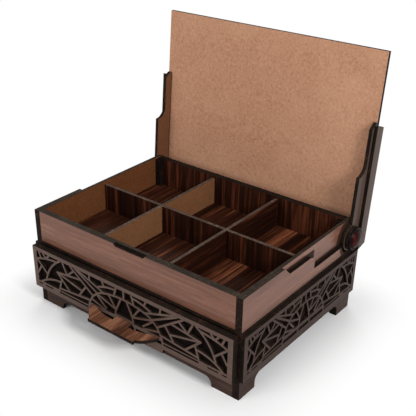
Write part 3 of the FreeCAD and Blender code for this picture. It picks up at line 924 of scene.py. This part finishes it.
@dataclass
class Base(SubAssembly):
    """The carcase under the tray: side boards, fretwork, skirt, back and floor."""

    # The base's outer faces are painted near black above this height: behind the fretwork's cells
    # and, as painted shade, in the band under the fretwork and the drawer's front.
    shade_foot: Region = Region(low=(-FAR, -FAR, 0.0160))
    # Painted pools of light on the tray's floor, across between these distances.
    lit_patch_end: float = 0.059
    lit_patch_starts: tuple[float, ...] = (0.037, 0.047)
    lit_patch_lift: float = 0.09

    def build(self) -> None:
        """Dress the whole base."""
        self.dress_sides()
        self.dress_front_and_back()
        self.dress_levels()

    def dress_sides(self) -> None:
        """Dress the double side boards, with painted shade under the fretwork, and the fretwork
        outside them.
        """
        self.finish_pair("base_side_inner", FOOT, Axis.ACROSS, Axis.DEEP)
        for side, outside in OUTSIDE.items():
            self.finish(Board(f"base_side_outer_{side}", FOOT, Axis.ACROSS, Axis.DEEP,
                              painted_shade=(PaintedShade(outside, self.shade_foot),)))
        self.finish_pair("side_fretwork", SHADED_SIDE_FRET, Axis.ACROSS, Axis.DEEP)

    def dress_front_and_back(self) -> None:
        """Dress the skirt, with painted shade where the drawer's front overhangs it, and the back.
        """
        self.finish(Board("front_skirt", FOOT, Axis.DEEP, Axis.ACROSS,
                          painted_shade=(PaintedShade(Face.BEHIND, self.shade_foot),)))
        self.finish(Board("base_back", FOOT, Axis.DEEP, Axis.ACROSS))

    def dress_levels(self) -> None:
        """Dress the board that the drawer runs on and the plate that carries the tray, with painted
        light on the plate's floor in the right compartments.
        """
        self.finish(Board("base_floor", INNER, Axis.UP, Axis.DEEP))
        pale = tuple(PaintedLight(Region((start, -FAR, -FAR), (self.lit_patch_end, FAR, FAR)), self.lit_patch_lift)
                     for start in self.lit_patch_starts)
        self.finish(Board("top_plate", FLOOR, Axis.UP, Axis.DEEP, painted_light=pale))


@dataclass
class Tray(SubAssembly):
    """The tray's walls, its dividers and its two corner posts."""

    # Painted shade on the inner side walls, where the outer walls' recesses bare them.
    tip_recess_shade: Region = Region(high=(FAR, 0.0200, 0.0850))
    arm_recess_shade: Region = Region(high=(FAR, FAR, 0.0725))
    # Painted shade at the outer walls' foot, where they meet the plate, darker towards the bottom.
    foot: Region = Region(high=(FAR, FAR, 0.0665), fade=0.005)
    foot_shade_depth: float = 0.28
    # Radius of the painted shade round each hub on the side walls.
    hub_shade: float = 0.0175
    # Painted light on the long divider and on the back wall's right part.
    lit_divider_patch: Region = Region(low=(0.034, -FAR, -FAR), high=(0.059, FAR, FAR))
    lit_back_patch: Region = Region(low=(0.059, -FAR, -FAR))
    wall_light_lift: float = 0.07

    @property
    def hub(self) -> Point:
        """Return the point on the box's middle plane that the lid turns about."""
        low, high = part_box("pivot_pins")
        return 0.0, (low[1] + high[1]) / 2, (low[2] + high[2]) / 2

    def build(self) -> None:
        """Dress the whole tray."""
        self.dress_walls()
        self.dress_lining()
        self.dress_dividers()

    def dress_walls(self) -> None:
        """Dress the outer walls, with painted shade round the hubs and towards their foot."""
        for side, outside in OUTSIDE.items():
            self.finish(Board(f"tray_side_outer_{side}", TRAY_OUTER, Axis.ACROSS, Axis.DEEP,
                              painted_shade=(PaintedShade(outside, self.foot, self.foot_shade_depth),
                                    PaintedShadeRound(outside, self.hub, self.hub_shade))))
        for wall, outside in (("front", Face.BEHIND), ("back", Face.AHEAD)):
            self.finish(Board(f"tray_{wall}_outer", TRAY_OUTER, Axis.DEEP, Axis.ACROSS,
                              painted_shade=(PaintedShade(outside, self.foot, self.foot_shade_depth),)))

    def dress_lining(self) -> None:
        """Dress the inner walls, with painted shade where a recess of the outer walls bares them
        and behind the front wall's notch, and painted light on the back wall.
        """
        for side, outside in OUTSIDE.items():
            self.finish(Board(f"tray_side_inner_{side}", TRAY_OUTER, Axis.ACROSS, Axis.DEEP,
                              raw=INSIDE[side],
                              painted_shade=(PaintedShade(outside, self.tip_recess_shade),
                                    PaintedShade(outside, self.arm_recess_shade),
                                    PaintedShadeRound(outside, self.hub, self.hub_shade))))
        # Its face toward the outer front wall is painted near black all over, as painted shade in
        # the outer wall's notch.
        self.finish(Board("tray_front_inner", INNER, Axis.DEEP, Axis.UP,
                          painted_shade=(PaintedShade(Face.BEHIND),)))
        self.finish(Board("tray_back_inner", INNER, Axis.DEEP, Axis.UP,
                          painted_light=(PaintedLight(self.lit_back_patch, self.wall_light_lift),)))
        # The corner posts' black is partly painted shade of the back corners.
        self.finish_pair("corner_post", BLACK, Axis.UP, Axis.UP)

    def dress_dividers(self) -> None:
        """Dress the long divider and the two cross dividers."""
        self.finish(Board("cross_divider_left", DIVIDER, Axis.ACROSS, Axis.UP, raw=Face.AHEAD,
                          raw_look=SHADED_DIVIDER_RAW))
        self.finish(Board("cross_divider_right", DIVIDER, Axis.ACROSS, Axis.DEEP,
                          raw=Face.BEHIND, raw_look=SHADED_DIVIDER_RAW))
        self.finish(Board("long_divider", DIVIDER, Axis.DEEP, Axis.UP, raw=Face.AHEAD,
                          raw_look=SHADED_DIVIDER_RAW,
                          painted_light=(PaintedLight(self.lit_divider_patch, self.wall_light_lift),)))


@dataclass
class Drawer(SubAssembly):
    """The drawer: its box, its fretwork front on a black board, and its pull."""

    def build(self) -> None:
        """Dress the whole drawer."""
        self.dress_box()
        self.dress_front()

    def dress_box(self) -> None:
        """Dress the boards that hold what is kept in the drawer."""
        self.finish(Board("drawer_floor", INNER, Axis.UP, Axis.DEEP))
        self.finish(Board("drawer_inner_front", INNER, Axis.DEEP, Axis.ACROSS))
        self.finish(Board("drawer_back", INNER, Axis.DEEP, Axis.ACROSS))
        self.finish_pair("drawer_side", INNER, Axis.ACROSS, Axis.DEEP)

    def dress_front(self) -> None:
        """Dress the fretwork, the board behind it and the pull."""
        self.finish(Board("drawer_front_board", BLACK, Axis.DEEP, Axis.ACROSS))
        self.finish(Board("drawer_fretwork", FRET, Axis.DEEP, Axis.ACROSS))
        self.finish(Board("drawer_handle", PULL, Axis.UP, Axis.DEEP))


@dataclass
class HubTrim:
    """The turned ring and the domed stone on each of the lid's hubs.

    The lip and the slope of the ring are its corners from the outside in: how far each lies from
    the ring's outer edge, or from its bore, and its height as a share of the ring's.
    """

    shop: Workshop
    pivot: Vector
    face: float = 0.1107
    ring_outer: float = 0.0099
    ring_inner: float = 0.0079
    ring_height: float = 0.0022
    lip: tuple[Corner, ...] = ((0.0, 0.55), (0.0002, 0.8), (0.0006, 1.0), (0.0011, 1.0))
    slope: tuple[Corner, ...] = ((0.0005, 0.86), (0.0001, 0.7), (0.0, 0.6))
    stone_radius: float = 0.0078
    stone_girdle: float = 0.0016
    stone_dome: float = 0.0032
    turns: int = 96
    dome_rings: int = 48
    sharp_turn: float = math.radians(38.0)

    def placed(self, mesh: bmesh.types.BMesh, name: str, outwards: int,
               material: bpy.types.Material) -> bpy.types.Object:
        """Lay a piece that was made along +Z against one of the hubs.

        Args:
            mesh: The piece, standing on the XY plane.
            name: The new object's name.
            outwards: 1 for the right hub and -1 for the left one.
            material: Its material.

        Returns:
            The new object.
        """
        turn = Matrix.Rotation(math.radians(90.0 * outwards), 4, "Y")
        spot = Vector((self.face * outwards, self.pivot.y, self.pivot.z))
        bmesh.ops.transform(mesh, matrix=Matrix.Translation(spot) @ turn, verts=mesh.verts)
        bmesh.ops.recalc_face_normals(mesh, faces=mesh.faces)
        for edge in mesh.edges:
            if len(edge.link_faces) == 2 and edge.calc_face_angle(0.0) > self.sharp_turn:
                edge.smooth = False
        for facet in mesh.faces:
            facet.smooth = True
        return new_object(mesh, name, material)

    def spun(self, profile: Iterable[Corner]) -> bmesh.types.BMesh:
        """Spin a closed profile about +Z.

        Args:
            profile: Radius and height of its corners, in order.

        Returns:
            The spun mesh.
        """
        mesh = bmesh.new()
        corners = [mesh.verts.new((radius, 0.0, height)) for radius, height in profile]
        runs = [mesh.edges.new(pair) for pair in zip(corners, corners[1:] + corners[:1])]
        bmesh.ops.spin(mesh, geom=[*corners, *runs], cent=(0, 0, 0), axis=(0, 0, 1),
                       angle=math.tau, steps=self.turns, use_merge=True)
        bmesh.ops.remove_doubles(mesh, verts=mesh.verts, dist=WELD_GAP)
        return mesh

    def ring(self) -> bmesh.types.BMesh:
        """Make a ring with a rounded lip and a stepped inner slope.

        Returns:
            The ring, standing on the XY plane.
        """
        out, bore, high = self.ring_outer, self.ring_inner, self.ring_height
        lip = [(out - inset, high * share) for inset, share in self.lip]
        slope = [(bore + inset, high * share) for inset, share in self.slope]
        return self.spun([(bore, 0.0), (out, 0.0), *lip, *slope])

    def stone(self) -> bmesh.types.BMesh:
        """Make a domed stone on a short straight girdle.

        Returns:
            The stone, standing on the XY plane.
        """
        mesh = bmesh.new()
        bmesh.ops.create_uvsphere(mesh, u_segments=self.turns, v_segments=self.dome_rings,
                                  radius=1.0)
        bmesh.ops.bisect_plane(mesh, geom=[*mesh.verts, *mesh.edges, *mesh.faces], dist=WELD_GAP,
                               plane_co=(0, 0, 0), plane_no=(0, 0, -1), clear_outer=True)
        bmesh.ops.scale(mesh, vec=(self.stone_radius, self.stone_radius, self.stone_dome),
                        verts=mesh.verts)
        bmesh.ops.translate(mesh, vec=(0, 0, self.stone_girdle), verts=mesh.verts)
        rim = [edge for edge in mesh.edges if edge.is_boundary]
        grown = bmesh.ops.extrude_edge_only(mesh, edges=rim)["geom"]
        foot = [item for item in grown if isinstance(item, bmesh.types.BMVert)]
        bmesh.ops.translate(mesh, vec=(0, 0, -self.stone_girdle), verts=foot)
        bmesh.ops.holes_fill(mesh, edges=[edge for edge in mesh.edges if edge.is_boundary], sides=0)
        return mesh

    def build(self) -> None:
        """Make both rings and both stones and hang them on the lid."""
        red, varnished = self.shop.streaked(STONE), self.shop.streaked(RING)
        for side, outwards in (("left", -1), ("right", 1)):
            gem = self.placed(self.stone(), f"stone_{side}", outwards, red)
            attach(gem, "lid")
            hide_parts("gems")
            rim = self.placed(self.ring(), f"ring_{side}", outwards, varnished)
            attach(rim, "lid")
            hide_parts("bezels")
            log.info("HubTrim: %s and %s made", gem.name, rim.name)


@dataclass
class Lid(SubAssembly):
    """The lid panel, its two arms and the trim and pins of its hubs."""

    # Painted contact shadow along the panel's joints with the arms: its width, darkness and fade.
    joint_shade_width: float = 0.0010
    joint_shade_depth: float = 0.75
    joint_shade_fade: float = 0.0003

    def build(self) -> None:
        """Dress the whole lid and make the trim of its hubs."""
        self.dress_panel()
        self.dress_arms()
        self.dress_pins()
        low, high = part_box("gems")
        HubTrim(self.shop, (Vector(low) + Vector(high)) / 2).build()

    def dress_panel(self) -> None:
        """Dress the panel, raw on its inside, with a painted contact shadow along its joints with
        the arms.
        """
        left_joint, _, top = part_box("arm_inner_left")[1]
        right_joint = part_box("arm_inner_right")[0][0]
        left = Region(high=(left_joint + self.joint_shade_width, FAR, top), fade=self.joint_shade_fade)
        right = Region(low=(right_joint - self.joint_shade_width, -FAR, -FAR), high=(FAR, FAR, top),
                       fade=self.joint_shade_fade)
        self.finish(Board("lid_panel", OUTER, Axis.LID_FACE, Axis.ACROSS, raw=Face.AHEAD,
                          raw_look=LID_RAW, painted_shade=(PaintedShade(Face.AHEAD, left, self.joint_shade_depth),
                                                  PaintedShade(Face.AHEAD, right, self.joint_shade_depth))))

    def dress_arms(self) -> None:
        """Dress the arms and the strips outside them, raw inwards, and the hub discs."""
        for stem in ("arm_inner", "arm_strip"):
            for side, inside in INSIDE.items():
                self.finish(Board(f"{stem}_{side}", ARM, Axis.ACROSS, Axis.UP, raw=inside,
                                  raw_look=SHADED_ARM_RAW))
        self.finish_pair("hub_disc", BLACK, Axis.ACROSS, Axis.UP)

    def dress_pins(self) -> None:
        """Give the pivot pins their steel."""
        steel = self.shop.streaked(PIN_STEEL)
        for holder in self.nodes["pivot_pins"].material_slots:
            holder.material = steel


@dataclass(frozen=True)
class Lamp:
    """A soft studio lamp that looks at the box."""

    name: str
    spot: Point
    size: float
    power: float


@dataclass
class Studio:
    """The floor, the lamps, the world and the camera."""

    aim: Vector = field(default_factory=lambda: Vector((0.0, 0.0, 0.07)))
    eye: Point = (0.35385, -0.44467, 0.38096)
    yaw: float = 0.693
    pitch: float = 0.517
    lens: float = 66.5
    shift: tuple[float, float] = (0.0697, 0.0928)
    sensor: float = 36.0
    nearest: float = 0.01
    ambient: float = 0.40
    floor_reach: float = 6.0
    floor_tone: float = 0.93
    floor_roughness: float = 0.95
    foot_half: Point = (0.106, 0.082, 0.0)
    shadow_reach: float = 0.062
    lamps: tuple[Lamp, ...] = (
        Lamp("key", (1.05, -0.35, 0.76), 0.32, 11.0),
        Lamp("front_fill", (-0.30, -1.15, 0.6), 0.9, 7.0),
        Lamp("back_rim", (-0.5, 0.8, 0.9), 0.7, 3.0),
    )

    def away_from_box(self, wire: Wiring) -> Signal:
        """Return how far a point of the floor lies from the box's foot.

        Args:
            wire: The floor's wiring.

        Returns:
            The distance.
        """
        nought = (0.0, 0.0, 0.0)
        place = wire.add("ShaderNodeTexCoord").outputs["Object"]
        for operation, other in (("ABSOLUTE", nought), ("SUBTRACT", self.foot_half),
                                 ("MAXIMUM", nought)):
            place = wire.vector_math(operation, place, other, "Vector")
        return wire.vector_math("LENGTH", place, nought, "Value")

    def floor(self) -> None:
        """Lay a large pale floor that keeps the box's shadow and goes over into white."""
        material, wire = new_material("pale_floor")
        matte = wire.principled(Base_Color=(self.floor_tone,) * 3,
                                Roughness=self.floor_roughness, Specular_IOR_Level=0.0)
        share = wire.steps(self.away_from_box(wire), Ramp(0.0, self.shadow_reach))
        wire.end(wire.where_seen(share, matte, wire.white("ShaderNodeEmission")))
        mesh = bmesh.new()
        bmesh.ops.create_grid(mesh, x_segments=1, y_segments=1, size=self.floor_reach)
        piece = new_object(mesh, "pale_floor", material)

    def world(self) -> None:
        """Light the box evenly, and show plain white to the camera and in reflections."""
        world = bpy.data.worlds.new("studio")
        bpy.context.scene.world = world
        world.use_nodes = True
        world.node_tree.nodes.clear()
        wire = Wiring(world.node_tree)
        soft = wire.white("ShaderNodeBackground", self.ambient)
        plain = wire.white("ShaderNodeBackground")
        wire.end(wire.where_seen(1.0, soft, plain), "ShaderNodeOutputWorld")

    def light(self) -> None:
        """Hang the soft lamps."""
        for lamp in self.lamps:
            data = bpy.data.lights.new(lamp.name, "AREA")
            data.shape = "DISK"
            data.size = lamp.size
            data.energy = lamp.power
            holder = bpy.data.objects.new(lamp.name, data)
            holder.location = lamp.spot
            aim = self.aim - Vector(lamp.spot)
            holder.rotation_euler = aim.to_track_quat("-Z", "Y").to_euler()
            bpy.context.scene.collection.objects.link(holder)

    def camera(self) -> None:
        """Set the camera at the photograph's viewing angle."""
        data = bpy.data.cameras.new("camera")
        data.lens = self.lens
        data.sensor_width = self.sensor
        data.shift_x, data.shift_y = self.shift
        data.clip_start = self.nearest
        holder = bpy.data.objects.new("camera", data)
        holder.location = self.eye
        holder.rotation_euler = Euler((math.pi / 2 - self.pitch, 0.0, self.yaw))
        bpy.context.scene.collection.objects.link(holder)
        bpy.context.scene.camera = holder

    def build(self) -> None:
        """Set up everything round the box."""
        bpy.context.scene.view_settings.view_transform = "Standard"
        self.floor()
        self.world()
        self.light()
        self.camera()


def main() -> None:
    """Dress the frame, make the hub trim and set up the studio."""
    logging.basicConfig(level=logging.INFO, format="%(message)s")
    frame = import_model()
    shop = Workshop()
    for part in (Base, Tray, Lid, Drawer):
        part(frame["nodes"], shop).build()
    Studio().build()


if __name__ == "__main__":
    main()
